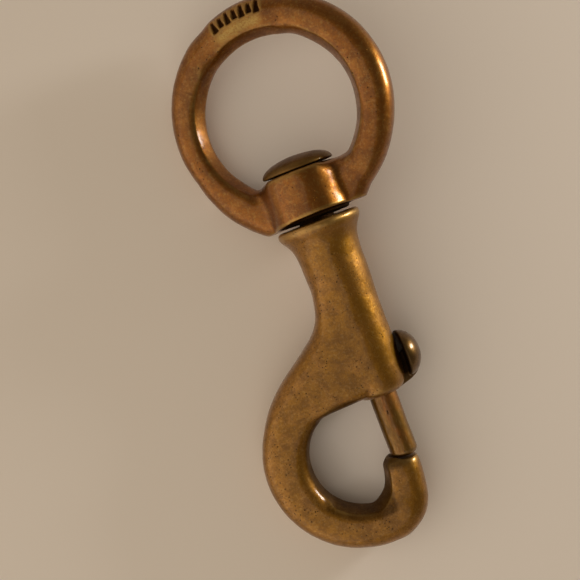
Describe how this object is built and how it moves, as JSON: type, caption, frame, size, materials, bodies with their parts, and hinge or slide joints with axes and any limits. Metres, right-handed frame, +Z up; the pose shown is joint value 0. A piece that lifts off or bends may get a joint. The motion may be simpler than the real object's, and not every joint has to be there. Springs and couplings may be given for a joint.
{
  "type": "swivel eye bolt snap",
  "caption": "Cast bronze snap hook with a sprung sliding bolt, a thumb knob and a round swivel eye.",
  "frame": {"origin": "centre of the box under the snap, on the surface it lies on", "axes": "+Z up, +Y from the hook towards the swivel eye, +X to the side of the thumb knob"},
  "size_m": [0.0404, 0.0884, 0.0145],
  "materials": {
    "body_bronze": "aged, mottled and pitted cast bronze, satin where it is handled",
    "eye_bronze": "aged cast bronze, redder brown, worn smooth",
    "bolt_bronze": "turned bronze rod, aged and rubbed lengthwise",
    "knob_bronze": "dark brown patina, polished by thumbs",
    "spring_wire": "drawn spring wire"
  },
  "bodies": {
    "body": {"hook_body": "body_bronze", "swivel_rivet": "eye_bronze", "bolt_spring": "spring_wire"},
    "eye": {"swivel_eye": "eye_bronze"},
    "bolt": {"bolt": "bolt_bronze", "thumb_knob": "knob_bronze"}
  },
  "joints": [
    {"name": "eye_swivel", "type": "hinge", "parent": "body", "child": "eye", "pos_m": [0.00187, 0.00785, 0.00695], "axis": [-0.0031, 0.9985, 0.054], "continuous": true},
    {"name": "bolt_slide", "type": "slide", "parent": "body", "child": "bolt", "axis": [-0.0031, 0.9985, 0.054], "range_m": [0, 0.0093], "stiffness_N_per_m": 400, "springref_m": -0.006, "deforming": ["bolt_spring"]}
  ]
}
